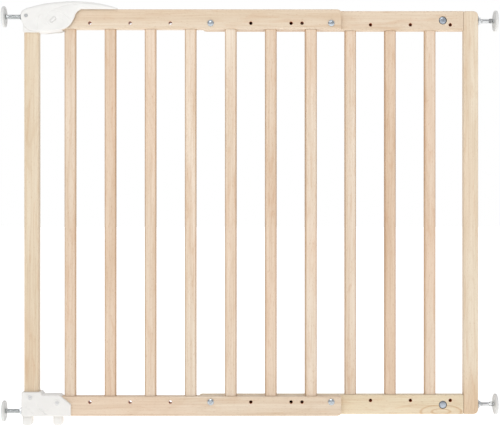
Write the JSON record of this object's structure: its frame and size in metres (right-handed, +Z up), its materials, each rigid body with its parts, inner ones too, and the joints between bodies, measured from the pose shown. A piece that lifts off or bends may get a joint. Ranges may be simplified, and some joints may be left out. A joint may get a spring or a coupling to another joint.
{
  "type": "safety baby gate",
  "caption": "Extending wooden pressure-fit child safety gate with overlapping slatted frames, a cam handle and spindle wall pads.",
  "frame": {"origin": "on the floor under the feet, midway between the two walls and in the middle of the gate's thickness", "axes": "+X across the doorway to the hinge side, +Y through the doorway, away from the handle's button side, +Z up"},
  "size_m": [0.889, 0.0562, 0.7574],
  "materials": {
    "beech": "satin clear lacquer",
    "pale_beech": "satin clear lacquer",
    "white_plastic": "moulded off-white plastic, satin",
    "pad_plastic": "moulded, soft satin",
    "grey_nylon": "moulded nylon",
    "zinc": "bright zinc plated",
    "spring_steel": "spring steel"
  },
  "bodies": {
    "hinge_wall_pads": {"hinge_pad_top": "pad_plastic", "hinge_pad_bottom": "pad_plastic", "hinge_clevis_top": "zinc", "hinge_clevis_bottom": "zinc", "hinge_pin_top": "zinc", "hinge_pin_bottom": "zinc"},
    "hinge_spindles": {"hinge_spindle_top": "zinc", "hinge_spindle_bottom": "zinc"},
    "hinge_half": {"hinge_post": "pale_beech", "hinge_top_rail": "beech", "hinge_bottom_rail": "beech", "hinge_slat_1": "beech", "hinge_slat_2": "beech", "hinge_slat_3": "beech", "hinge_slat_4": "beech", "hinge_slat_5": "beech", "hinge_slat_6": "beech", "hinge_lock_nut_top": "zinc", "hinge_lock_nut_bottom": "zinc", "barrel_nut_top": "zinc", "barrel_nut_bottom": "zinc"},
    "latch_half": {"latch_post": "pale_beech", "latch_top_rail": "beech", "latch_bottom_rail": "beech", "latch_slat_1": "beech", "latch_slat_2": "beech", "latch_slat_3": "beech", "latch_slat_4": "beech", "latch_slat_5": "beech", "latch_slat_6": "beech", "latch_slat_7": "beech", "handle_cap_front": "white_plastic", "handle_cap_rear": "white_plastic", "handle_pivot_front": "zinc", "handle_pivot_rear": "zinc", "bracket_front": "white_plastic", "bracket_rear": "white_plastic", "bracket_screw_upper": "white_plastic", "bracket_screw_lower": "white_plastic", "bracket_foot_outer": "white_plastic", "bracket_foot_inner": "white_plastic", "latch_lock_nut_bottom": "zinc", "adjusting_screw_top_outer": "zinc", "adjusting_screw_top_inner": "zinc", "adjusting_screw_bottom_outer": "zinc", "adjusting_screw_bottom_inner": "zinc"},
    "handle": {"handle_lever": "white_plastic", "handle_drive_pin": "zinc", "button_spring": "spring_steel"},
    "release_button": {"release_button": "white_plastic"},
    "cam_slider": {"cam_slider": "grey_nylon", "upper_spindle_collar": "zinc"},
    "upper_spindle": {"latch_spindle_top": "zinc"},
    "upper_pad": {"latch_pad_top": "pad_plastic"},
    "lower_spindle": {"latch_spindle_bottom": "zinc"},
    "lower_pad": {"latch_pad_bottom": "pad_plastic"}
  },
  "joints": [
    {"name": "leaf_swing", "type": "hinge", "parent": "hinge_wall_pads", "child": "hinge_spindles", "pos_m": [0.4345, 0.00915, 0.3805], "axis": [0, 0, 1], "range_deg": [-90, 75]},
    {"name": "hinge_spindle_adjust", "type": "slide", "parent": "hinge_spindles", "child": "hinge_half", "axis": [-1, 0, 0], "range_m": [0, 0.012]},
    {"name": "width_extension", "type": "slide", "parent": "hinge_half", "child": "latch_half", "axis": [-1, 0, 0], "range_m": [-0.2154, 0.2154]},
    {"name": "handle_lift", "type": "hinge", "parent": "latch_half", "child": "handle", "pos_m": [-0.3998, -0.00915, 0.7311], "axis": [0, -1, 0], "range_deg": [0, 40]},
    {"name": "button_press", "type": "slide", "parent": "handle", "child": "release_button", "axis": [0, 1, 0], "range_m": [0, 0.0018], "stiffness_N_per_m": 500},
    {"name": "cam_slide", "type": "slide", "parent": "latch_half", "child": "cam_slider", "axis": [1, 0, 0], "range_m": [0, 0.00602]},
    {"name": "upper_spindle_adjust", "type": "slide", "parent": "cam_slider", "child": "upper_spindle", "axis": [-1, 0, 0], "range_m": [-0.01, 0.01]},
    {"name": "upper_pad_tilt", "type": "hinge", "parent": "upper_spindle", "child": "upper_pad", "pos_m": [-0.4389, -0.00915, 0.7311], "axis": [0, 1, 0], "range_deg": [-8, 8]},
    {"name": "lower_spindle_adjust", "type": "slide", "parent": "latch_half", "child": "lower_spindle", "axis": [-1, 0, 0], "range_m": [-0.01, 0.01]},
    {"name": "lower_pad_tilt", "type": "hinge", "parent": "lower_spindle", "child": "lower_pad", "pos_m": [-0.4389, -0.00915, 0.0251], "axis": [0, 1, 0], "range_deg": [-8, 8]}
  ],
  "couplings": [
    {"joint": "cam_slide", "follows": "handle_lift", "m_per_rad": 0.0086125}
  ]
}
